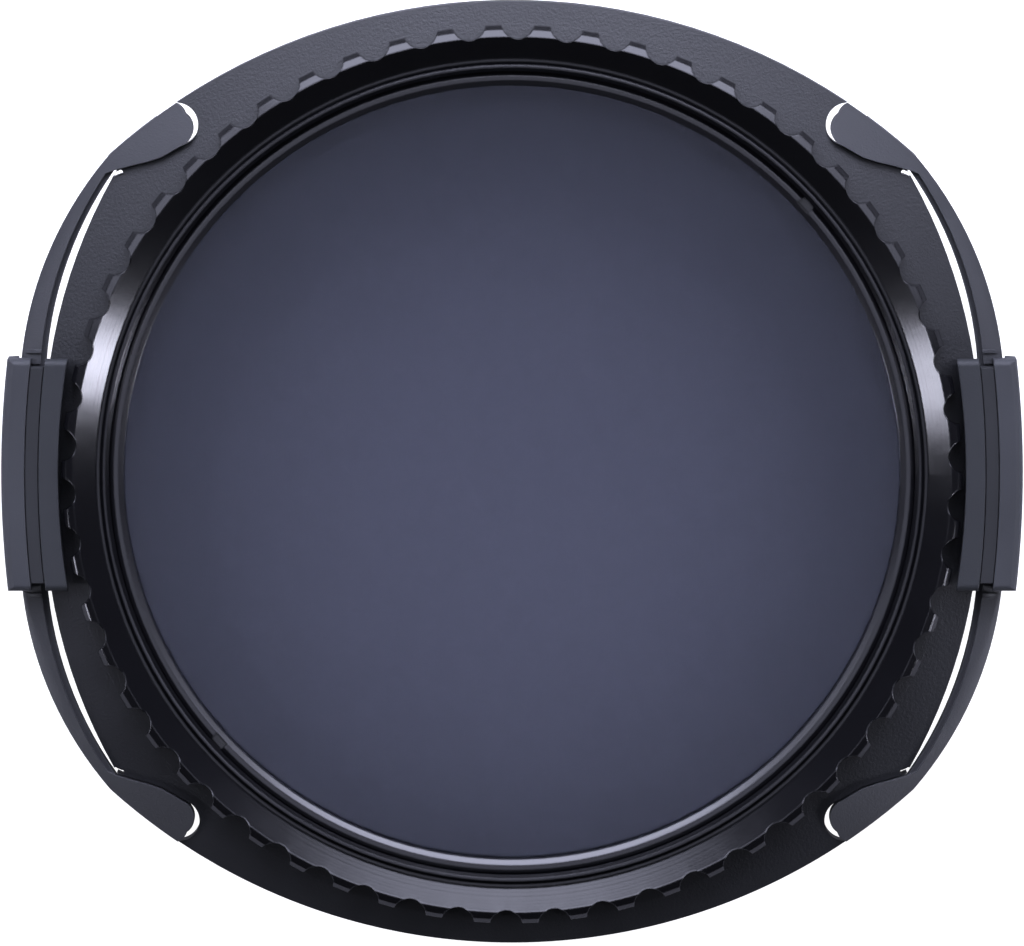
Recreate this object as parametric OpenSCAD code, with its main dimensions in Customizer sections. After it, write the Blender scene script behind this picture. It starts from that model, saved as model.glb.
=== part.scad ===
// Clip-on round polarising filter for a 100 mm filter holder.
// The light comes down the Z axis. The claws' rear tips are at z = 0 and the funnel's rim is on top.
// The moulded frame holds a fluted ring that turns, and each side has a spring band with a clip on it.

/* [Glass] */
// Diameter of the laminated glass
glass_d = 101.2; // [90:0.2:110]
// Thickness of each of the two glass discs
glass_t = 0.8; // [0.5:0.05:1.2]
// Thickness of each of the two films between them
film_t = 0.2; // [0.1:0.05:0.3]
// Room between the edge of the glass and the ring
glass_play = 0.35; // [0.1:0.05:0.8]
// Width of the lip behind the glass, inwards from its edge
lip_w = 1.7; // [1:0.1:4]
// Thickness of the lip behind the glass
lip_t = 0.8; // [0.5:0.1:1.2]

/* [Turning ring] */
// Wall of the ring's hub outside the thread
hub_wall = 2.55; // [2:0.05:4]
// Width of the flat ledge round the thread's mouth
ledge_w = 1.15; // [0.6:0.05:2]
// Width of the groove between ledge and funnel
groove_w = 0.5; // [0.3:0.05:1]
// Bevel on the ledge's outer edge
ledge_bevel = 0.35; // [0.1:0.05:0.5]
// Depth of that groove below the ledge
groove_d = 0.8; // [0.3:0.1:1.2]
// Height of the funnel's foot above the ledge
funnel_step = 0.2; // [0:0.1:0.6]
// Width of the funnel, seen from the front
funnel_w = 2.8; // [2:0.1:5]
// Height of the funnel
funnel_h = 2.5; // [1.5:0.1:3]
// Width of the bevel between the rim and the tips of the teeth
bevel_w = 1.45; // [1.3:0.05:1.6]
// Height of that bevel
bevel_h = 1; // [0.5:0.1:1.5]
// Height of the teeth, from the flange's underside to the rim
tooth_h = 3.1; // [2.8:0.1:5]
// Number of flutes round the ring
flute_count = 58; // [40:1:72]
// Radius of one flute
flute_r = 2.1; // [1.8:0.05:2.4]
// Depth of a flute from the tip of a tooth
flute_d = 1.7; // [1.5:0.05:1.75]
// Turn of the first flute from the X axis, as a share of the pitch
flute_phase = 0.38; // [0:0.01:1]
// How far the ring's rear end lies inside the frame
ring_inset = 0.6; // [0.3:0.1:1]

/* [Retaining ring] */
// Height of the threaded ring that holds the glass
retainer_h = 2.2; // [1.5:0.1:2.5]
// Width of the retaining ring
retainer_w = 1.8; // [1.5:0.1:2.2]
// Play of its thread
thread_play = 0.05; // [0.02:0.01:0.1]
// Width of the bevel on its inner edge
retainer_bevel_in = 0.7; // [0.4:0.05:0.8]
// Width of the bevel on its outer edge
retainer_bevel_out = 0.5; // [0.2:0.05:0.6]
// Height of both bevels
retainer_bevel_h = 0.4; // [0.2:0.05:0.5]
// Width of the two spanner slots
slot_w = 1.9; // [1:0.1:3]
// Bevel on the mouth of the ring's thread
mouth_bevel = 0.45; // [0.1:0.05:0.5]
// Depth of the spanner slots
slot_d = 0.9; // [0.5:0.1:1.2]
// Direction of the first spanner slot, from the X axis
slot_angle = 42.5; // [0:0.5:180]

/* [Frame] */
// Running gap between the ring's hub and the frame's bore
run_gap = 0.06; // [0.03:0.01:0.1]
// Thickness of the frame at its hub
frame_t = 6; // [5.5:0.1:7]
// Fall of the frame's front face for each mm outwards
face_fall = 0.33; // [0.2:0.01:0.4]
// Flat shelf outside the tips of the teeth before the face falls
shelf_w = 0.15; // [0.1:0.05:0.5]
// Width of the frame above and below the teeth
crown_w = 2.85; // [2:0.05:6]
// Reach of the outline's corners outside the tips of the teeth
corner_reach = 8.03; // [7.9:0.01:8.2]
// Direction of the first corner, from the X axis
corner_angle = 38.38; // [37.5:0.01:39.2]
// Depth of the recess for the snap ring, from the rear
recess_d = 2.2; // [2:0.1:2.6]
// Width of that recess outside the bore
recess_w = 1.45; // [1.2:0.05:1.8]

/* [Glide ring and snap ring] */
// Thickness of the glide ring under the teeth
glide_t = 0.25; // [0.15:0.05:0.4]
// Width of the glide ring
glide_w = 1.4; // [1.2:0.1:1.6]
// Gap between the glide ring and the teeth
glide_gap = 0.05; // [0.03:0.01:0.1]
// Thickness of the snap ring
snap_t = 0.6; // [0.4:0.1:0.8]
// Depth of the snap ring's groove in the hub
snap_groove_d = 0.8; // [0.5:0.1:1]
// How far the snap ring stands out of the hub
snap_reach = 1.1; // [0.6:0.1:1.1]
// Play of the snap ring in its groove
snap_play = 0.05; // [0.03:0.01:0.1]
// Gap between the snap ring and the frame's shoulder
snap_gap = 0.3; // [0.2:0.05:0.4]
// Opening of the snap ring, in degrees
snap_opening = 12; // [6:1:30]

/* [Spring bands] */
// Reach of the bands outside the tips of the teeth
band_reach = 5.4; // [5:0.1:7]
// Radius of a band's outer edge
band_r = 46.6; // [44:0.1:50]
// Radius of a band's inner edge
band_inner_r = 48.3; // [47:0.1:49.5]
// Width of a band where it enters the clip
band_w = 3.2; // [3:0.1:3.6]
// Height of the middle of an inner arc above the level of the clip
band_inner_rise = 10.5; // [10:0.1:11]
// Height of the bands above the claws' tips
band_z = 5.6; // [5.2:0.1:6.2]
// Height of a band's section
band_h = 3.5; // [2.5:0.1:4]
// Width of the low step along a band's inner edge
step_w = 0.65; // [0.3:0.05:1]
// Depth of that step
step_d = 0.7; // [0.3:0.1:1.2]
// Width of the open slot between band and frame, where it is widest
slit_w = 0.9; // [0.8:0.05:1]
// Direction of that place, from the middle of the band's inner edge
slit_angle = 17.9; // [17:0.1:19]
// Radius of the frame's edge beside the slot
slit_r = 68.4; // [66:0.1:72]
// Radius of the slot's end under the leaf
slit_end_r = 0.3; // [0.25:0.05:0.4]
// Length of the hook at the slot's end
slit_hook = 0.9; // [0.6:0.1:1.2]
// Width of the bar that joins the two arms inside the clip
bar_w = 2.2; // [2:0.1:2.6]
// Thickness of the collar across an arm beside the clip
collar_t = 0.5; // [0.3:0.1:0.8]
// Height of the collar above the band
collar_h = 0.25; // [0.1:0.05:0.4]
// Gap between the collar and the clip's grips
collar_gap = 0.55; // [0.4:0.05:0.8]

/* [Leaf heads] */
// Reach of a leaf's tip beyond the outline's corner
leaf_reach = 8.35; // [8:0.05:8.7]
// Rise of a leaf's tip above that corner
leaf_rise = 3.4; // [3.2:0.05:3.6]
// Radius of a leaf's tip
tip_r = 2.3; // [2:0.05:2.5]
// Radius of the bulge behind the tip
heel_r = 2; // [1.8:0.05:2.2]
// Height of the leaves above the frame's face
leaf_h = 1; // [0.6:0.1:1.6]
// Thickness of the frame under a leaf
seat_t = 3; // [2.6:0.1:3.2]
// Gap round a leaf in its pocket
leaf_gap = 0.12; // [0.05:0.01:0.2]
// Radius of the round notch beyond a leaf's tip
notch_r = 2.75; // [2.5:0.05:2.8]
// Radius of the screws' shanks
screw_r = 0.8; // [0.6:0.05:1]
// Radius of the screws' heads
head_r = 1.5; // [1.3:0.05:1.7]
// Height of the screws' heads
head_h = 1.2; // [1:0.1:1.4]
// How deep a screw goes into its leaf
screw_bite = 1.4; // [1:0.1:1.6]
// Room round a screw in the frame
screw_play = 0.1; // [0.05:0.01:0.15]
// How far a screw's head lies inside the frame's rear face
head_inset = 0.1; // [0:0.05:0.3]
// Width of the cross slots in a screw's head
cross_w = 0.4; // [0.3:0.05:0.6]
// Depth of those slots
cross_d = 0.6; // [0.3:0.1:0.8]

/* [Clips] */
// Length of a clip's grips
grip_len = 29.3; // [24:0.1:34]
// Gap between a grip and the tips of the teeth
grip_gap = 0.45; // [0.44:0.01:0.6]
// Radius of the inner grips' hollow faces beside the teeth
grip_hollow_r = 89; // [80:1:100]
// Reach of a grip outside the teeth, at its middle
grip_reach = 7.65; // [7:0.05:9]
// Radius of the grips' outer face, seen from the front
grip_bow_r = 130; // [100:1:200]
// Width of the inner grip at its middle
inner_grip_w = 2.45; // [2.3:0.05:2.6]
// Width of the bare rib between the grips
rib_w = 1.6; // [1.3:0.1:1.7]
// Width of the grooves beside the rib
rib_gap = 0.1; // [0.08:0.01:0.15]
// How far the rib lies below the grips' tops
rib_drop = 0.2; // [0.1:0.05:0.4]
// Height of the grips' tops below the rim
grip_drop = 0.6; // [0.3:0.1:1.5]
// Rounding of the grips' long edges
grip_round = 0.9; // [0.4:0.1:1.2]
// Rounding of the grips' ends
end_round = 0.8; // [0.4:0.1:1.2]
// Thickness of the grips over the core
cover_t = 1.3; // [1:0.1:1.5]
// Thickness of the core's plate under the grips
plate_t = 1; // [0.8:0.1:1.2]
// Thickness of the core's outer wall
wall_t = 1.4; // [1:0.1:1.6]
// Thickness of the core's floor under the band
floor_t = 1.05; // [0.8:0.05:1.1]
// Gap between the band and the core
core_gap = 0.15; // [0.1:0.01:0.2]
// Width of the frame that is left outside the shelf beside a clip
bay_w = 0.3; // [0.2:0.05:0.5]
// Gap between the core's claw and the edge of the frame
claw_gap = 0.6; // [0.4:0.05:0.8]
// Height of the claws behind the frame
claw_h = 4.2; // [4.1:0.1:4.6]
// Thickness of a claw
claw_t = 1.5; // [1.2:0.1:1.8]
// Length of a claw along the clip
claw_len = 22; // [16:0.5:24]
// Reach of the lip on a claw
hook_w = 0.3; // [0.25:0.05:0.4]
// Height of that lip
hook_h = 1.3; // [1:0.1:1.6]
// How far the core's plate stands out beyond its walls
core_brim = 0.4; // [0.2:0.05:0.5]

/* [Hidden] */
$fn = 96;
over = 1;
far = 90;

// Radii of the turning ring, from the glass outwards
glass_r = glass_d / 2;
lip_r = glass_r - lip_w;
thread_r = glass_r + glass_play;
ledge_r = thread_r + ledge_w;
funnel_foot_r = ledge_r + groove_w;
rim_r = funnel_foot_r + funnel_w;
tooth_r = rim_r + bevel_w;
hub_r = thread_r + hub_wall;
bore_r = hub_r + run_gap;
shelf_r = tooth_r + shelf_w;

// Heights, from the claws' tips to the rim
ring_z = claw_h + ring_inset;
lip_z = ring_z + lip_t;
rear_film_z = lip_z + glass_t;
front_film_z = rear_film_z + film_t;
front_glass_z = front_film_z + film_t;
retainer_z = front_glass_z + glass_t;
face_z = claw_h + frame_t;
flange_z = face_z + glide_t + glide_gap;
rim_z = flange_z + tooth_h;
funnel_foot_z = rim_z - funnel_h;
ledge_z = funnel_foot_z - funnel_step;
shoulder_z = claw_h + recess_d;
snap_z = shoulder_z - snap_gap - snap_t;
seat_z = claw_h + seat_t;
band_top_z = band_z + band_h;

// Plan of the frame and the bands, in the quarter where x and y are positive
corner = (tooth_r + corner_reach) * [cos(corner_angle), sin(corner_angle)];
crown_y = tooth_r + crown_w;
crown_fall = crown_y - corner.y;
crown_r = (corner.x * corner.x + crown_fall * crown_fall) / crown_fall / 2;
crown_centre = [0, crown_y - crown_r];
band_x = tooth_r + band_reach;
band_side = corner.x - band_x + band_r;
band_centre = [band_x - band_r, corner.y - sqrt(band_r * band_r - band_side * band_side)];
inner_centre = [band_x - band_w - band_inner_r, band_inner_rise];
end_angle = atan2(corner.y - inner_centre.y, corner.x - inner_centre.x);
neck_angle = end_angle - 1;
bay_x = shelf_r + bay_w;
bay_half = grip_len / 2 - bay_w;
slit_centre = inner_centre - (slit_r - band_inner_r + slit_w) * [cos(slit_angle), sin(slit_angle)];
bay_angle = -atan2(band_inner_rise, bay_x - inner_centre.x);
neck_overlap = 1.5;
neck_room = 0.5;
neck_dip = 0.08;
corner_room = 5;

// Points of a leaf in the first quarter
tip_centre = leaf_point(-1, 1);
heel_centre = leaf_point(-0.93, 1.38);
notch_centre = leaf_point(-1.02, 1.13);
screw_spot = leaf_point(-0.48, 0.3);
leaf_edge = [leaf_point(-0.36, -0.37), leaf_point(-0.58, -0.24), leaf_point(-0.79, -0.07)];
leaf_back = [leaf_point(-0.8, 2.5), leaf_point(0.36, 0.9)];
leaf_down = [-0.36, -0.93];
slit_end = inner_centre + (band_inner_r - slit_end_r) * [cos(neck_angle - 1), sin(neck_angle - 1)];
hook_half = slit_end_r * 0.9;
hook_end = slit_end + slit_hook * [leaf_down.y, -leaf_down.x];

// Shares of a bevel or a rounding at its middle step
tooth_break = 0.4;
grip_break = 0.3;
cross_share = 0.6;

// Places across a clip
core_half = grip_len / 2 - 1;
bar_x = band_x - band_w;
wall_x = bar_x + bar_w + core_gap;
outer_x = tooth_r + grip_reach;
rib_x = tooth_r + grip_gap + inner_grip_w;
claw_x = bay_x + claw_gap;
bow_centre_x = outer_x - grip_bow_r;
bow_faces = 960;
grip_z = rim_z - grip_drop;
cover_z = grip_z - cover_t;
plate_z = cover_z - plate_t;
core_top_z = band_top_z + core_gap;
core_floor_z = band_z - core_gap - floor_t;

// A point of the leaf, by its shares of the leaf's reach and rise from the outline's corner
function leaf_point(reach, rise) = corner + [reach * leaf_reach, rise * leaf_rise];

module disc(z, h, r) {
    translate([0, 0, z]) cylinder(h = h, r = r);
}

// A round shape given by its section, as points of radius and height
module turned(section, angle = 360) {
    rotate_extrude(angle = angle) polygon(section);
}

// A wedge about a point of the plan, from one direction to another
module wedge(centre, from, to) {
    polygon([centre, centre + far * [cos(from), sin(from)], centre + far * [cos(to), sin(to)]]);
}

module at(place, r) {
    translate(place) circle(r = r);
}

// Everything below a face that lies this much above the frame's own front face
module under_face(raise) {
    turned([[0, 0], [far - over, 0], [shelf_r + (face_z + raise) / face_fall - over, over * face_fall],
        [shelf_r, face_z + raise], [0, face_z + raise]]);
}

// Both halves of a plan shape, above and below the level of the clips
module both_halves() {
    children();
    mirror([0, 1, 0]) children();
}

// All four quarters of a shape
module all_quarters() {
    both_halves() children();
    mirror([1, 0, 0]) both_halves() children();
}

// What a quarter of the plate loses beside the band's arm, its open slot and the corner
module arm_room() {
    difference() {
        wedge(inner_centre, bay_angle, neck_angle + neck_room);
        at(slit_centre, slit_r);
    }
    difference() {
        wedge(inner_centre, bay_angle, end_angle + corner_room);
        at(band_centre, band_r);
    }
    at(slit_end, slit_end_r);
    at(hook_end, slit_end_r);
    translate(hook_end) rotate(atan2(leaf_down.x, -leaf_down.y)) translate([0, -hook_half])
        square([slit_hook, 2 * hook_half]);
}

// The plate's outline, seen from the front
module frame_plan() {
    difference() {
        intersection() {
            at(crown_centre, crown_r);
            at(-crown_centre, crown_r);
        }
        all_quarters() arm_room();
        for (side = [-1, 1])
            translate([side > 0 ? bay_x : -far - bay_x, -bay_half]) square([far, 2 * bay_half]);
    }
    square([2 * bay_x, band_inner_rise], center = true);
}

// The leaf at the end of an arm, grown by the gap round it
module leaf_plan(grow = 0) {
    down = grow * leaf_down;
    from = neck_angle - neck_overlap;
    root = inner_centre + (band_inner_r + step_w) * [cos(from), sin(from)];
    neck = inner_centre + (band_inner_r + neck_dip) * [cos(neck_angle - neck_room), sin(neck_angle - neck_room)];
    intersection() {
        union() {
            polygon([root, neck + down, leaf_edge[0] + down, leaf_edge[1] + down, leaf_edge[2] + down,
                tip_centre + (tip_r + grow) * leaf_down, tip_centre, heel_centre, leaf_back[0], leaf_back[1],
                inner_centre + (band_r + band_w) * [cos(from), sin(from)]]);
            at(tip_centre, tip_r + grow);
            at(heel_centre, heel_r + grow);
        }
        at(crown_centre, crown_r + (grow > 0 ? over : 0));
        at(band_centre, band_r + (grow > 0 ? over : 0));
    }
}

module arm_plan() {
    intersection() {
        difference() {
            at(band_centre, band_r);
            at(inner_centre, band_inner_r);
        }
        wedge(inner_centre, 0, neck_angle);
        translate([0, core_half + core_gap]) square(far);
    }
}

module frame() {
    color([0.17, 0.17, 0.19])
    difference() {
        intersection() {
            translate([0, 0, claw_h]) linear_extrude(frame_t + over) frame_plan();
            under_face(0);
        }
        disc(0, face_z + over, bore_r);
        disc(0, shoulder_z, bore_r + recess_w);
        all_quarters() {
            translate([0, 0, seat_z]) linear_extrude(frame_t) leaf_plan(leaf_gap);
            linear_extrude(face_z + over) at(notch_centre, notch_r);
            translate(screw_spot) disc(0, face_z, screw_r + screw_play);
            translate(screw_spot) disc(0, claw_h + head_inset + head_h + screw_play, head_r + screw_play);
        }
    }
}

module rotating_ring() {
    pitch = 360 / flute_count;
    groove_floor = snap_z - snap_play;
    color([0.1, 0.1, 0.11])
    difference() {
        turned([
            [lip_r, ring_z],
            [hub_r, ring_z],
            [hub_r, groove_floor],
            [hub_r - snap_groove_d, groove_floor],
            [hub_r - snap_groove_d, snap_z + snap_t + snap_play],
            [hub_r, snap_z + snap_t + snap_play],
            [hub_r, flange_z],
            [tooth_r, flange_z],
            [tooth_r, rim_z - bevel_h],
            [tooth_r - bevel_w * tooth_break, rim_z - bevel_h * tooth_break],
            [rim_r, rim_z],
            [funnel_foot_r, funnel_foot_z],
            [funnel_foot_r, ledge_z - groove_d],
            [ledge_r, ledge_z - groove_d],
            [ledge_r, ledge_z - ledge_bevel],
            [ledge_r - ledge_bevel, ledge_z],
            [thread_r + mouth_bevel, ledge_z],
            [thread_r, ledge_z - mouth_bevel],
            [thread_r, lip_z],
            [lip_r, lip_z]
        ]);
        for (k = [0 : flute_count - 1])
            rotate((k + flute_phase) * pitch)
                translate([tooth_r - flute_d + flute_r, 0, 0])
                    disc(flange_z - over, tooth_h + 2 * over, flute_r);
    }
}

module retaining_ring() {
    outer_r = thread_r - thread_play;
    inner_r = outer_r - retainer_w;
    top = retainer_z + retainer_h;
    color([0.13, 0.13, 0.14])
    difference() {
        turned([
            [inner_r, retainer_z],
            [outer_r, retainer_z],
            [outer_r, top - retainer_bevel_h],
            [outer_r - retainer_bevel_out, top],
            [inner_r + retainer_bevel_in, top],
            [inner_r, top - retainer_bevel_h]
        ]);
        for (side = [0, 180])
            rotate(slot_angle + side)
                translate([inner_r + retainer_bevel_in, -slot_w / 2, top - slot_d])
                    cube([retainer_w, slot_w, slot_d + over]);
    }
}

module front_glass() {
    color([0.2, 0.21, 0.27]) disc(front_glass_z, glass_t, glass_r);
}

module polarising_film() {
    color([0.16, 0.16, 0.2]) disc(front_film_z, film_t, glass_r);
}

module quarter_wave_film() {
    color([0.3, 0.3, 0.34]) disc(rear_film_z, film_t, glass_r);
}

module rear_glass() {
    color([0.2, 0.21, 0.27]) disc(lip_z, glass_t, glass_r);
}

module glide_ring() {
    color([0.85, 0.85, 0.82])
    turned([[bore_r + glide_gap, face_z], [bore_r + glide_gap + glide_w, face_z],
        [bore_r + glide_gap + glide_w, face_z + glide_t], [bore_r + glide_gap, face_z + glide_t]]);
}

module snap_ring() {
    inner_r = hub_r - snap_groove_d + snap_play;
    outer_r = hub_r + snap_reach;
    color([0.6, 0.61, 0.63])
    rotate(90 + snap_opening / 2)
        turned([[inner_r, snap_z], [outer_r, snap_z], [outer_r, snap_z + snap_t],
            [inner_r, snap_z + snap_t]], 360 - snap_opening);
}

// One arm with its low step and its collar
module arm() {
    difference() {
        union() {
            translate([0, 0, band_z]) linear_extrude(band_h) arm_plan();
            translate([0, 0, band_z]) linear_extrude(band_h + collar_h) intersection() {
                arm_plan();
                translate([0, grip_len / 2 + collar_gap]) square([far, collar_t]);
            }
        }
        translate(concat(inner_centre, band_top_z - step_d)) cylinder(h = band_h, r = band_inner_r + step_w);
    }
}

module spring_band() {
    color([0.19, 0.19, 0.21])
    both_halves() difference() {
        union() {
            intersection() {
                arm();
                under_face(leaf_h);
            }
            translate([bar_x, -over, band_z]) cube([bar_w, core_half + core_gap + 2 * over, band_h - step_d]);
            intersection() {
                translate([0, 0, seat_z]) linear_extrude(frame_t) leaf_plan();
                under_face(leaf_h);
            }
        }
        translate(screw_spot) disc(seat_z - over, over + screw_bite, screw_r);
    }
}

// A round plan about the middle of the grips' bow, with its edge here on the X axis
module bow_plan(x) {
    translate([bow_centre_x, 0]) circle(r = x - bow_centre_x, $fn = bow_faces);
}

// The rib that stands between the grips, bowed as they are
module core_rib() {
    translate([0, 0, plate_z + plate_t / 2]) linear_extrude(plate_t / 2 + cover_t - rib_drop) intersection() {
        difference() {
            bow_plan(rib_x + rib_gap + rib_w);
            bow_plan(rib_x + rib_gap);
        }
        translate([0, -core_half]) square([far, 2 * core_half]);
    }
}

// The section of a clip's core, across the band: plate, wall, floor and claw
module core_section() {
    polygon([
        [claw_x - hook_w, 0],
        [claw_x + claw_t, 0],
        [claw_x + claw_t, core_floor_z],
        [wall_x + wall_t, core_floor_z],
        [wall_x + wall_t, plate_z],
        [wall_x + wall_t + core_brim, plate_z],
        [wall_x + wall_t + core_brim, cover_z],
        [bar_x - core_brim, cover_z],
        [bar_x - core_brim, plate_z],
        [bar_x, core_top_z],
        [wall_x, core_top_z],
        [wall_x, band_z - core_gap],
        [claw_x, band_z - core_gap],
        [claw_x, hook_h + hook_w],
        [claw_x - hook_w, hook_h]
    ]);
}

module across_clip(half) {
    translate([0, half, 0]) rotate([90, 0, 0]) linear_extrude(2 * half) children();
}

module clip_core() {
    color([0.15, 0.15, 0.17])
    difference() {
        union() {
            across_clip(core_half) core_section();
            core_rib();
        }
        for (end = [-1, 1])
            translate([claw_x - over, end > 0 ? claw_len / 2 : -far - claw_len / 2, -over])
                cube([far, far, core_floor_z + over]);
    }
}

// The block that rounds off both ends of the grips
module grip_loaf(low) {
    half = grip_len / 2;
    rotate([90, 0, 90]) linear_extrude(far) union() {
        translate([-half, low]) square([2 * half, grip_z - end_round - low]);
        translate([-half + end_round, low]) square([2 * (half - end_round), grip_z - low]);
        for (end = [-1, 1])
            at([end * (half - end_round), grip_z - end_round], end_round);
    }
}

module outer_grip() {
    low = core_floor_z + 1;
    groove_r = rib_x + 2 * rib_gap + rib_w - bow_centre_x;
    color([0.21, 0.21, 0.24])
    difference() {
        intersection() {
            translate([bow_centre_x, 0, 0]) rotate(180) turned([
                [groove_r, low],
                [grip_bow_r - grip_round, low],
                [grip_bow_r, low + grip_round],
                [grip_bow_r, grip_z - grip_round],
                [grip_bow_r - grip_round * grip_break, grip_z - grip_round * grip_break],
                [grip_bow_r - grip_round, grip_z],
                [groove_r, grip_z]
            ], $fn = bow_faces);
            grip_loaf(low);
        }
        across_clip(core_half) polygon([[0, 0], [wall_x + wall_t, 0], [wall_x + wall_t, plate_z],
            [wall_x + wall_t + core_brim, plate_z], [wall_x + wall_t + core_brim, cover_z], [0, cover_z]]);
        across_clip(grip_len) polygon([[0, 0], [band_x + core_gap, 0], [band_x + core_gap, core_top_z],
            [0, core_top_z]]);
    }
}

module inner_grip() {
    color([0.21, 0.21, 0.24])
    difference() {
        intersection() {
            translate([0, 0, plate_z]) linear_extrude(far) bow_plan(rib_x);
            grip_loaf(plate_z);
        }
        translate([tooth_r + grip_gap - grip_hollow_r, 0])
            cylinder(h = far, r = grip_hollow_r, $fn = bow_faces);
        across_clip(core_half) polygon([[bar_x - core_brim, 0], [far, 0], [far, cover_z],
            [bar_x - core_brim, cover_z]]);
    }
}

// A countersunk screw that comes up from behind into a leaf
module leaf_screw() {
    low = claw_h + head_inset;
    color([0.5, 0.5, 0.52])
    translate(screw_spot) difference() {
        union() {
            disc(low, head_h, head_r);
            disc(low, seat_z + screw_bite - low - screw_play, screw_r);
        }
        for (turn = [0, 90])
            rotate(turn) translate([-head_r * cross_share, -cross_w / 2, low - over])
                cube([2 * head_r * cross_share, cross_w, over + cross_d]);
    }
}

module left() {
    mirror([1, 0, 0]) children();
}

module below() {
    mirror([0, 1, 0]) children();
}

frame();
rotating_ring();
retaining_ring();
front_glass();
polarising_film();
quarter_wave_film();
rear_glass();
glide_ring();
snap_ring();
left() spring_band();  // left_spring_band
spring_band();  // right_spring_band
left() clip_core();  // left_clip_core
clip_core();  // right_clip_core
left() outer_grip();  // left_outer_grip
outer_grip();  // right_outer_grip
left() inner_grip();  // left_inner_grip
inner_grip();  // right_inner_grip
left() leaf_screw();  // upper_left_screw
leaf_screw();  // upper_right_screw
left() below() leaf_screw();  // lower_left_screw
below() leaf_screw();  // lower_right_screw
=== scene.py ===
# %% [markdown]
# # A clip-on round polarising filter
#
# A round polarising filter for a square filter holder. A fluted ring carries
# the glass and turns in a moulded frame, and two spring bands at the sides
# carry the clips that hook the frame into its holder.
#
# The shapes come from the imported CAD model, which is loaded as a fixed frame here. Blender adds what
# CAD leaves out: the finish of each surface, edges that catch the light, spring arms cut in halves from
# the bands with rounded edges, and a small studio.

# %% Load the model
import math

import bpy
import mathutils
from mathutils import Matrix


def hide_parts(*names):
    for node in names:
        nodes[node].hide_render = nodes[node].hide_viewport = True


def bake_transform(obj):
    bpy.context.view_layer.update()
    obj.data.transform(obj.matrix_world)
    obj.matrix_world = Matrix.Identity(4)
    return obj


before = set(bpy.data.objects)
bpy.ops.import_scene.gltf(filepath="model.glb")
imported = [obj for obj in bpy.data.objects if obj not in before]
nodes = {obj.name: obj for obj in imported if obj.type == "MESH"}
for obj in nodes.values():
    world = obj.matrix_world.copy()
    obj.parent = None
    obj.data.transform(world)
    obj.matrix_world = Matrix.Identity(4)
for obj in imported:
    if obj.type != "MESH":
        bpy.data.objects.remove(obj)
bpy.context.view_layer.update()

# %% [markdown]
# ## Millimetres
#
# The frame is in metres, while the real part is drawn in millimetres. A size
# on the filter is written as it would be on the drawing, and turned into
# metres where Blender needs it. The studio round it is laid out in metres.

# %% Sizes
MM = 0.001
MM_PER_METRE = 1000.0


def mm(*values):
    """Millimetres as metres."""
    return tuple(value * MM for value in values)


print("one millimetre is", MM, "metres")

# %% [markdown]
# ## Shader groups
#
# Moulded plastic has a fine spark-eroded grain, and turned metal has rings
# left by the lathe. Both are patterns that several materials share, so each
# is a node group with its own sizes as inputs. They read Object coordinates,
# which are metres here, so a size in millimetres is the real size.

# %% A small kit for node groups


def new_group(name, inputs, outputs):
    """An empty shader group with float inputs (name, default) and float outputs."""
    group = bpy.data.node_groups.new(name, "ShaderNodeTree")
    for label, value in inputs:
        socket = group.interface.new_socket(label, in_out="INPUT", socket_type="NodeSocketFloat")
        socket.default_value = value
    for label in outputs:
        group.interface.new_socket(label, in_out="OUTPUT", socket_type="NodeSocketFloat")
    return group, group.nodes.new("NodeGroupInput"), group.nodes.new("NodeGroupOutput")


def math_node(tree, operation, first, second=None):
    """A Math node whose inputs are sockets or plain numbers. Gives its output."""
    node = tree.nodes.new("ShaderNodeMath")
    node.operation = operation
    for place, value in enumerate((first, second)):
        if value is None:
            continue
        if isinstance(value, (int, float)):
            node.inputs[place].default_value = value
        else:
            tree.links.new(value, node.inputs[place])
    return node.outputs[0]


def noise_node(tree, vector, size_mm, detail, rough):
    """A noise texture with marks of a size in millimetres. Gives its value."""
    node = tree.nodes.new("ShaderNodeTexNoise")
    tree.links.new(vector, node.inputs["Vector"])
    tree.links.new(math_node(tree, "DIVIDE", MM_PER_METRE, size_mm), node.inputs["Scale"])
    node.inputs["Detail"].default_value = detail
    node.inputs["Roughness"].default_value = rough
    return node.outputs["Fac"]


# %% [markdown]
# ### Grain
#
# The mould's surface is a random pattern of pits. Two noises, one fine and
# one coarser, give the pits and a slow cloudiness. The height goes to a bump,
# and the cloud varies the colour and the gloss as handling does.

# %% The grain of moulded plastic
grain, grain_in, grain_out = new_group(
    "Moulded grain", [("Grain mm", 0.3), ("Cloud mm", 12.0)], ["Height", "Cloud"]
)
grain_place = grain.nodes.new("ShaderNodeTexCoord").outputs["Object"]
pits = noise_node(grain, grain_place, grain_in.outputs["Grain mm"], detail=3.0, rough=0.6)
cloud = noise_node(grain, grain_place, grain_in.outputs["Cloud mm"], detail=3.0, rough=0.55)
grain.links.new(pits, grain_out.inputs["Height"])
grain.links.new(cloud, grain_out.inputs["Cloud"])
print("group:", grain.name)

# %% [markdown]
# ### Lathe lines
#
# A turned face has fine rings about the axis. The distance from the axis
# drives a noise, so each ring is a little different, as the tool left it.
# The height above the seat drives it too, so that a wall has rings as well.

# %% The lines of a turned face


def round_place(tree):
    """Where a point is on a round part: its distance from the axis and its height."""
    split = tree.nodes.new("ShaderNodeSeparateXYZ")
    tree.links.new(tree.nodes.new("ShaderNodeTexCoord").outputs["Object"], split.inputs[0])
    square_x = math_node(tree, "MULTIPLY", split.outputs["X"], split.outputs["X"])
    square_y = math_node(tree, "MULTIPLY", split.outputs["Y"], split.outputs["Y"])
    radius = math_node(tree, "SQRT", math_node(tree, "ADD", square_x, square_y))
    return radius, split.outputs["Z"]


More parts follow.
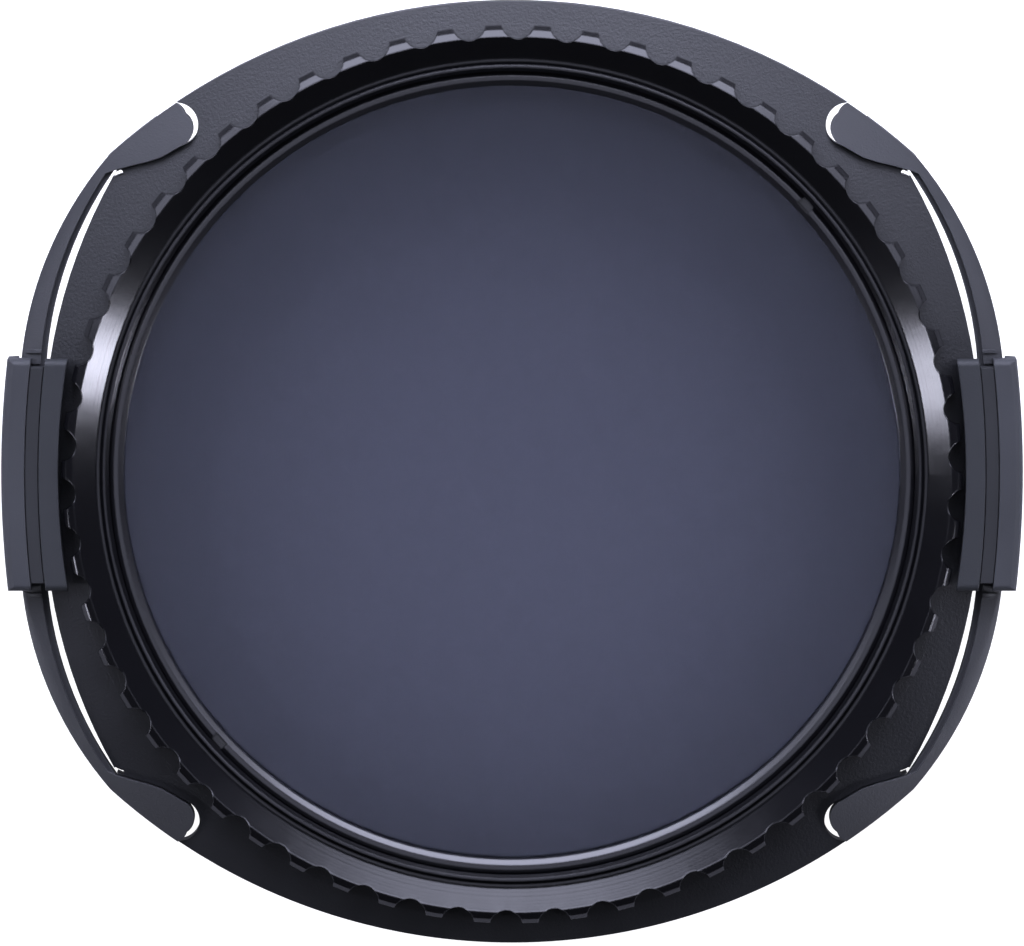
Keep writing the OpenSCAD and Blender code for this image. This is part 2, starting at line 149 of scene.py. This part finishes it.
turned, turned_in, turned_out = new_group("Lathe lines", [("Line mm", 0.25)], ["Height"])
line_radius, line_height = round_place(turned)
line_place = turned.nodes.new("ShaderNodeCombineXYZ")
turned.links.new(line_radius, line_place.inputs["X"])
turned.links.new(line_height, line_place.inputs["Z"])
lines = noise_node(turned, line_place.outputs[0], turned_in.outputs["Line mm"], detail=2.0, rough=0.5)
turned.links.new(lines, turned_out.inputs["Height"])
print("group:", turned.name)

# %% [markdown]
# ### A top that falls outward
#
# The spring bands are a little rounded on top and fall away from the middle
# of the filter, and so does the frame's shelf under the teeth. A height that
# drops with the distance from the axis leans the normal outward by the same
# amount everywhere, up to a reach and above a level.

# %% The lean of the bands and the shelf
leaning, lean_in, lean_out = new_group(
    "Falls outward", [("Slope", 0.1), ("Reach", 1.0), ("Above", 0.0)], ["Height"]
)
lean_radius, lean_height = round_place(leaning)
above = math_node(leaning, "GREATER_THAN", lean_height, lean_in.outputs["Above"])
reached = math_node(leaning, "MINIMUM", lean_radius, lean_in.outputs["Reach"])
downward = math_node(leaning, "MULTIPLY", lean_in.outputs["Slope"], -1.0)
drop = math_node(leaning, "MULTIPLY", reached, downward)
leaning.links.new(math_node(leaning, "MULTIPLY", drop, above), lean_out.inputs["Height"])
print("group:", leaning.name)

# %% [markdown]
# ## Materials
#
# All the plastic is black, but no black thing is evenly black. Each finish
# has a colour and a roughness that the cloud shifts a little. What the
# materials share is written once here: the start of a material, a group put
# to use, and the two ways in which a cloud works on a socket.

# %% A small kit for materials


def new_material(name):
    """A new material, its node tree and its Principled shader."""
    material = bpy.data.materials.new(name)
    material.use_nodes = True
    return material, material.node_tree, material.node_tree.nodes["Principled BSDF"]


def use_group(tree, group, values):
    """Place a shader group in a material, with its own values. Gives the node."""
    node = tree.nodes.new("ShaderNodeGroup")
    node.node_tree = group
    for label, value in values.items():
        node.inputs[label].default_value = value
    return node


def cloud_colour(tree, clouds, colour, share, socket):
    """Let a cloud darken and lighten a colour by a share of itself."""
    tint = tree.nodes.new("ShaderNodeMix")
    tint.data_type = "RGBA"
    tint.inputs["A"].default_value = (*[part * (1 - share) for part in colour], 1)
    tint.inputs["B"].default_value = (*[part * (1 + share) for part in colour], 1)
    tree.links.new(clouds, tint.inputs["Factor"])
    tree.links.new(tint.outputs["Result"], socket)


def cloud_value(tree, clouds, low, high, socket):
    """Let a cloud move a value between two ends."""
    between = tree.nodes.new("ShaderNodeMapRange")
    between.inputs["To Min"].default_value = low
    between.inputs["To Max"].default_value = high
    tree.links.new(clouds, between.inputs["Value"])
    tree.links.new(between.outputs["Result"], socket)


# %% [markdown]
# ### Plastic, rubber and metal
#
# The normal of a finish is built in layers. It starts from rounded edges, so
# that they catch the light as a moulding's do. Then comes the outward fall
# where the face has one, and last the grain, or the lathe lines with a trace
# of grain under them.

# %% A finish for solid pieces
COLOUR_SHARE = 0.2
GRAIN_UNDER_LINES = 0.3
EDGE_SAMPLES = 4
FULL_HEIGHT = 1.0  # a height in metres counts as it is


def bump_node(tree, height, normal, distance):
    """A full bump of a height over a normal. Gives the new normal."""
    bump = tree.nodes.new("ShaderNodeBump")
    bump.inputs["Strength"].default_value = 1.0
    bump.inputs["Distance"].default_value = distance
    tree.links.new(height, bump.inputs["Height"])
    tree.links.new(normal, bump.inputs["Normal"])
    return bump.outputs["Normal"]


def finish(name, colour, rough, grain_mm, depth, edge,
           metal=0.0, ior=1.5, line_mm=None, spread=0.08, fall=None):
    """A solid finish. Grain, depth, edge and lathe lines are in millimetres."""
    material, tree, shader = new_material(name)
    shader.inputs["Metallic"].default_value = metal
    shader.inputs["IOR"].default_value = ior
    pattern = use_group(tree, grain, {"Grain mm": grain_mm})
    clouds = pattern.outputs["Cloud"]
    cloud_colour(tree, clouds, colour, COLOUR_SHARE, shader.inputs["Base Color"])
    cloud_value(tree, clouds, rough - spread, rough + spread, shader.inputs["Roughness"])
    soft_edge = tree.nodes.new("ShaderNodeBevel")
    soft_edge.samples = EDGE_SAMPLES
    soft_edge.inputs["Radius"].default_value = edge * MM
    normal = soft_edge.outputs["Normal"]
    if fall:
        lean = use_group(tree, leaning, fall)
        normal = bump_node(tree, lean.outputs["Height"], normal, FULL_HEIGHT)
    height = pattern.outputs["Height"]
    if line_mm:
        rings = use_group(tree, turned, {"Line mm": line_mm})
        trace = math_node(tree, "MULTIPLY", height, GRAIN_UNDER_LINES)
        height = math_node(tree, "ADD", trace, rings.outputs["Height"])
    normal = bump_node(tree, height, normal, depth * MM)
    tree.links.new(normal, shader.inputs["Normal"])
    return material


# %% [markdown]
# ### The filter's own finishes
#
# The frame is a hard black plastic with an open grain. The cone of its face is
# in the CAD model, and the narrow shelf inside that cone falls outward here.
# The bands are greyer and fall outward over their whole length. The grips are
# dull rubber. The rings are turned and coated black, and such a coat shines
# like lacquer and not like bare metal, so only the steel pieces are metallic.

# %% The finishes
TOP_SLOPE = 0.33
SHELF_RADIUS = 57.0 * MM
SHELF_LEVEL = 7.0 * MM
NO_LIMIT = 1.0  # a metre, far beyond the part
shelf_fall = {"Slope": TOP_SLOPE, "Reach": SHELF_RADIUS, "Above": SHELF_LEVEL}
band_fall = {"Slope": TOP_SLOPE, "Reach": NO_LIMIT, "Above": 0.0}

frame_plastic = finish("frame plastic", (0.012, 0.0125, 0.014), rough=0.45,
                       grain_mm=0.35, depth=0.05, edge=0.15, fall=shelf_fall)
band_plastic = finish("band plastic", (0.038, 0.039, 0.042), rough=0.5,
                      grain_mm=0.3, depth=0.03, edge=0.2, fall=band_fall)
core_plastic = finish("core plastic", (0.02, 0.021, 0.023), rough=0.5,
                      grain_mm=0.3, depth=0.015, edge=0.15)
grip_rubber = finish("grip rubber", (0.038, 0.040, 0.045), rough=0.6,
                     grain_mm=0.25, depth=0.02, edge=0.3)
inner_rubber = finish("inner grip rubber", (0.022, 0.024, 0.027), rough=0.62,
                      grain_mm=0.25, depth=0.02, edge=0.3)
ring_black = finish("ring black", (0.004, 0.004, 0.005), rough=0.18,
                    grain_mm=0.5, depth=0.004, edge=0.3, line_mm=0.35, spread=0.05)
retainer_black = finish("retainer black", (0.010, 0.010, 0.012), rough=0.24,
                        grain_mm=0.5, depth=0.008, edge=0.3, ior=1.65, line_mm=0.2, spread=0.05)
glide_plastic = finish("glide plastic", (0.55, 0.55, 0.52), rough=0.35,
                       grain_mm=0.5, depth=0.004, edge=0.05)
spring_steel = finish("spring steel", (0.45, 0.45, 0.47), rough=0.3,
                      grain_mm=0.4, depth=0.003, edge=0.08, metal=1.0)
screw_steel = finish("screw steel", (0.3, 0.3, 0.31), rough=0.32,
                     grain_mm=0.4, depth=0.003, edge=0.08, metal=1.0)
print("darkest finish:", ring_black.name, "lightest:", glide_plastic.name)

# %% [markdown]
# ### Glass
#
# The polariser is two discs of clear glass cemented to the films between
# them. The gloss is drawn once, as a clear coat on the film, and the glass
# above it hardly bends the light, so that no reflection is doubled. The
# renderer takes glass as a wall for lamps, so it thins out for shadow rays
# alone, and the film is lit as under real glass.

# %% Clear glass
GLASS_IOR = 1.04
SMUDGE_MM = 25.0
SMUDGE_ROUGH = 0.05
LAMPLIGHT_THROUGH = 0.92

glass, glass_tree, glass_shader = new_material("coated glass")
glass_shader.inputs["Base Color"].default_value = (0.9, 0.92, 1.0, 1)
glass_shader.inputs["Transmission Weight"].default_value = 1.0
glass_shader.inputs["IOR"].default_value = GLASS_IOR
smudges = use_group(glass_tree, grain, {"Cloud mm": SMUDGE_MM})
cloud_value(glass_tree, smudges.outputs["Cloud"], 0.0, SMUDGE_ROUGH, glass_shader.inputs["Roughness"])
lamp_ray = glass_tree.nodes.new("ShaderNodeLightPath").outputs["Is Shadow Ray"]
thinned = math_node(glass_tree, "MULTIPLY", lamp_ray, LAMPLIGHT_THROUGH)
glass_tree.links.new(math_node(glass_tree, "SUBTRACT", 1.0, thinned), glass_shader.inputs["Alpha"])
print("glass:", glass.name)

# %% [markdown]
# ### Films
#
# The dark colour of the filter is the polarising film's. A film is matt in
# itself, with a colour that clouds very slightly, and its clear coat stands
# for the face of the glass in front of it.

# %% Dark films under a clear coat
FILM_CLOUD_MM = 30.0
FILM_COLOUR_SHARE = 0.03


def film(name, colour):
    """A flat matt film under a clear coat."""
    material, tree, shader = new_material(name)
    shader.inputs["Roughness"].default_value = 0.7
    shader.inputs["Specular IOR Level"].default_value = 0.0
    shader.inputs["Coat Weight"].default_value = 1.0
    shader.inputs["Coat Roughness"].default_value = 0.1
    pattern = use_group(tree, grain, {"Cloud mm": FILM_CLOUD_MM})
    cloud_colour(tree, pattern.outputs["Cloud"], colour, FILM_COLOUR_SHARE, shader.inputs["Base Color"])
    return material


dark_film = film("dark film", (0.0085, 0.0088, 0.0105))
grey_film = film("grey film", (0.014, 0.014, 0.017))
print("films:", dark_film.name, grey_film.name)

# %% [markdown]
# ## Dress the nodes
#
# Every node that keeps its CAD shape gets its finish in its material slot.
# The pieces of the two sides are alike, so a loop dresses them.

# %% Finishes on the CAD nodes
dress = {
    "frame": frame_plastic,
    "rotating_ring": ring_black,
    "retaining_ring": retainer_black,
    "front_glass": glass,
    "rear_glass": glass,
    "polarising_film": dark_film,
    "quarter_wave_film": grey_film,
    "glide_ring": glide_plastic,
    "snap_ring": spring_steel,
}
for side in ("left", "right"):
    dress[side + "_clip_core"] = core_plastic
    dress[side + "_outer_grip"] = grip_rubber
    dress[side + "_inner_grip"] = inner_rubber
    for level in ("upper", "lower"):
        dress[f"{level}_{side}_screw"] = screw_steel
for node, material in dress.items():
    nodes[node].data.materials[0] = material
print("dressed nodes:", len(dress))

# %% [markdown]
# The films lie between the glasses with no room at all, and two faces in one
# place flicker in a picture. A film that is thinner by a hundredth of a
# millimetre on every side leaves the hair's breadth that light needs.

# %% A hair's breadth round the films
HAIR = 0.01 * MM
for node in ("polarising_film", "quarter_wave_film"):
    thin = nodes[node].modifiers.new("hair's breadth", "DISPLACE")
    thin.strength = -HAIR
    thin.mid_level = 0.0
print("films thinned by", HAIR, "metres on every side")

# %% [markdown]
# ## Spring arms
#
# On each side one band of springy plastic runs from leaf to leaf through the clip. Squeezing the clip
# twists the band, so in the scene each half is its own piece. The CAD mesh is loose triangles and is
# left alone, so an arm starts from a copy whose points are merged. Every operator works on what is
# selected, and so the copy alone is selected first.

# %% A merged copy of a CAD piece
MERGE_DISTANCE = 0.001 * MM
FLAT_WITHIN = math.radians(0.3)


def select_only(obj):
    """Leave one object selected and active."""
    bpy.ops.object.select_all(action="DESELECT")
    obj.select_set(True)
    bpy.context.view_layer.objects.active = obj


def copy_of(node, name):
    """A merged copy of a CAD node's mesh, as an object of its own at the origin."""
    obj = bpy.data.objects.new(name, nodes[node].data.copy())
    bpy.context.scene.collection.objects.link(obj)
    select_only(obj)
    bpy.ops.mesh.customdata_custom_splitnormals_clear()
    bpy.ops.object.mode_set(mode="EDIT")
    bpy.ops.mesh.select_all(action="SELECT")
    bpy.ops.mesh.remove_doubles(threshold=MERGE_DISTANCE)
    bpy.ops.mesh.dissolve_limited(angle_limit=FLAT_WITHIN)
    bpy.ops.object.mode_set(mode="OBJECT")
    return obj


# %% [markdown]
# ### Cut and round
#
# The copy is cut in half at the clip's middle, and a bevel rounds its edges as the mould does. Bevelled
# faces would pull the shading of the flat ones round with them, so the normals are weighted by the size
# of the faces.

# %% Four arms
EDGE_WIDTH = 0.22 * MM
EDGE_STEPS = 3
SHARP_FROM = math.radians(40)
SMOOTH_BELOW = math.radians(35)


def round_edges(obj):
    """Bevel the sharp edges, and keep the flat faces flat to the eye."""
    bevel = obj.modifiers.new("soft edges", "BEVEL")
    bevel.width = EDGE_WIDTH
    bevel.segments = EDGE_STEPS
    bevel.limit_method = "ANGLE"
    bevel.angle_limit = SHARP_FROM
    bpy.ops.object.modifier_apply(modifier=bevel.name)
    bpy.ops.object.shade_smooth_by_angle(angle=SMOOTH_BELOW)
    flat_faces = obj.modifiers.new("flat faces", "WEIGHTED_NORMAL")
    flat_faces.keep_sharp = True
    bpy.ops.object.modifier_apply(modifier=flat_faces.name)


def spring_arm(side, level):
    """Half of a band, from the clip's middle to its leaf."""
    obj = copy_of(side + "_spring_band", f"{level}_{side}_spring_arm")
    up = 1 if level == "upper" else -1
    bpy.ops.object.mode_set(mode="EDIT")
    bpy.ops.mesh.select_all(action="SELECT")
    bpy.ops.mesh.bisect(plane_co=(0, 0, 0), plane_no=(0, up, 0), clear_inner=True, use_fill=True)
    bpy.ops.object.mode_set(mode="OBJECT")
    round_edges(obj)
    obj.data.materials.clear()
    obj.data.materials.append(band_plastic)
    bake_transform(obj)
    return obj


for side in ("left", "right"):
    arms = [spring_arm(side, level) for level in ("upper", "lower")]
    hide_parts(side + "_spring_band")
    print(side, "arms, faces:", [len(arm.data.polygons) for arm in arms])

# %% [markdown]
# ## Floor
#
# The photograph is on plain white. A floor that the camera sees as pure white
# takes the place of the paper. It gives the part less light than it shows,
# because the real sheet lay in half shade, and from beneath it is clear, so
# that the back of the filter can be seen.

# %% A pale floor
FLOOR_SIZE = 6
FLOOR_DEPTH = -0.1
SHADED_PAPER = (0.12, 0.12, 0.14, 1)
WHITE_PAPER = (1, 1, 1, 1)

bpy.ops.object.select_all(action="DESELECT")
bpy.ops.mesh.primitive_plane_add(size=FLOOR_SIZE, location=mm(0, 0, FLOOR_DEPTH))
floor = bpy.context.active_object
floor.name = "floor"
floor_finish, floor_tree, floor_shader = new_material("pale floor")
floor_shader.inputs["Base Color"].default_value = (0.5, 0.5, 0.52, 1)
floor_shader.inputs["Roughness"].default_value = 0.9
floor_shader.inputs["Emission Strength"].default_value = 1.0
seen = floor_tree.nodes.new("ShaderNodeLightPath").outputs["Is Camera Ray"]
paper = floor_tree.nodes.new("ShaderNodeMix")
paper.data_type = "RGBA"
paper.inputs["A"].default_value = SHADED_PAPER
paper.inputs["B"].default_value = WHITE_PAPER
floor_tree.links.new(seen, paper.inputs["Factor"])
floor_tree.links.new(paper.outputs["Result"], floor_shader.inputs["Emission Color"])
beneath = floor_tree.nodes.new("ShaderNodeNewGeometry").outputs["Backfacing"]
floor_tree.links.new(math_node(floor_tree, "SUBTRACT", 1.0, beneath), floor_shader.inputs["Alpha"])
floor.data.materials.append(floor_finish)
print("floor:", FLOOR_SIZE, "metres across")

# %% [markdown]
# ## Lights
#
# What the eye sees on a black part is mostly the image of the lamps. A wide
# lamp beyond the top of the picture, with a strip above it and one at each
# shoulder, brightens the plate there and leaves it dark at the bottom. A small
# lamp at each side gives the highlights in the funnel, and one overhead keeps
# the black from being empty. The coat on the film mirrors three round lamps,
# one inside the other, as a patch that fades softly towards its rim. They hang
# where a mirror lying flat would show them to the camera.

# %% Studio lights
TOP_WHITE = (0.76, 0.78, 1.0)
SIDE_WHITE = (0.82, 0.83, 1.0)
OVERHEAD_WHITE = (0.8, 0.82, 1.0)
GLOW_BLUE = (0.66, 0.68, 1.0)
GLOW_POWER = 6.5  # watts for a lamp one metre wide
GLOW_WIDTHS = (0.11, 0.15, 0.19)


def softbox(name, azimuth, elevation, away, size, watts, colour):
    """An oval light that looks at the filter from a direction of the plan."""
    turn = math.radians(azimuth)
    rise = math.radians(elevation)
    level_x = math.cos(turn) * math.cos(rise)
    level_y = math.sin(turn) * math.cos(rise)
    spot = mathutils.Vector((level_x, level_y, math.sin(rise))) * away
    lamp = bpy.data.lights.new(name, "AREA")
    lamp.shape = "ELLIPSE"
    lamp.size, lamp.size_y = size
    lamp.energy = watts
    lamp.color = colour
    obj = bpy.data.objects.new(name, lamp)
    obj.location = spot
    obj.rotation_euler = (-spot).to_track_quat("-Z", "Y").to_euler()
    bpy.context.scene.collection.objects.link(obj)


softbox("top light", 89, 32, away=1.1, size=(1.7, 0.75), watts=25, colour=TOP_WHITE)
softbox("high strip", 90, 50, away=1.1, size=(1.6, 0.3), watts=2.0, colour=TOP_WHITE)
softbox("left shoulder", 150, 48, away=1.1, size=(0.6, 0.4), watts=2.4, colour=TOP_WHITE)
softbox("right shoulder", 32, 48, away=1.1, size=(0.6, 0.4), watts=2.0, colour=TOP_WHITE)
softbox("right strip", 339.5, 13, away=0.9, size=(0.18, 0.22), watts=3.1, colour=SIDE_WHITE)
softbox("left strip", 198, 13, away=0.9, size=(0.22, 0.22), watts=2.3, colour=SIDE_WHITE)
softbox("overhead", 90, 86, away=2.4, size=(1.8, 1.8), watts=5, colour=OVERHEAD_WHITE)
for width in GLOW_WIDTHS:
    softbox(f"glow {width:.2f}", 270, 85.1, away=2.4, size=(width, width),
            watts=GLOW_POWER * width ** 2, colour=GLOW_BLUE)

# %% [markdown]
# ### The room
#
# The rest of the room is nearly dark and slightly blue. It lifts the faces
# that no lamp reaches.

# %% A dim room
ROOM_BLUE = (0.8, 0.82, 0.9, 1)
ROOM_STRENGTH = 0.045
world = bpy.data.worlds.new("studio")
bpy.context.scene.world = world
world.use_nodes = True
world.node_tree.nodes["Background"].inputs["Color"].default_value = ROOM_BLUE
world.node_tree.nodes["Background"].inputs["Strength"].default_value = ROOM_STRENGTH
print("room strength:", ROOM_STRENGTH)

# %% [markdown]
# ## Camera
#
# The photograph looks down on the filter through a long lens that leans a few
# degrees towards the top of the picture, which shows in how the rim is shifted
# against the glass. The camera aims at a point on the axis, a little over
# halfway up, and its lens follows from the width of the picture there.

# %% A long lens from above
CAMERA_TILT = math.radians(4.6)
CAMERA_DISTANCE = 1.6
SENSOR_WIDTH = 36
PICTURE_WIDTH = 0.12954
aim = mathutils.Vector(mm(0, 0, 8.6))
look_back = mathutils.Vector((0, math.sin(CAMERA_TILT), math.cos(CAMERA_TILT)))
camera_data = bpy.data.cameras.new("camera")
camera_data.sensor_width = SENSOR_WIDTH
camera_data.lens = SENSOR_WIDTH * CAMERA_DISTANCE / PICTURE_WIDTH
camera = bpy.data.objects.new("camera", camera_data)
camera.location = aim + CAMERA_DISTANCE * look_back
camera.rotation_euler = (-CAMERA_TILT, 0, 0)
bpy.context.scene.collection.objects.link(camera)
bpy.context.scene.camera = camera
bpy.context.scene.view_settings.view_transform = "Standard"
print("lens:", round(camera_data.lens))
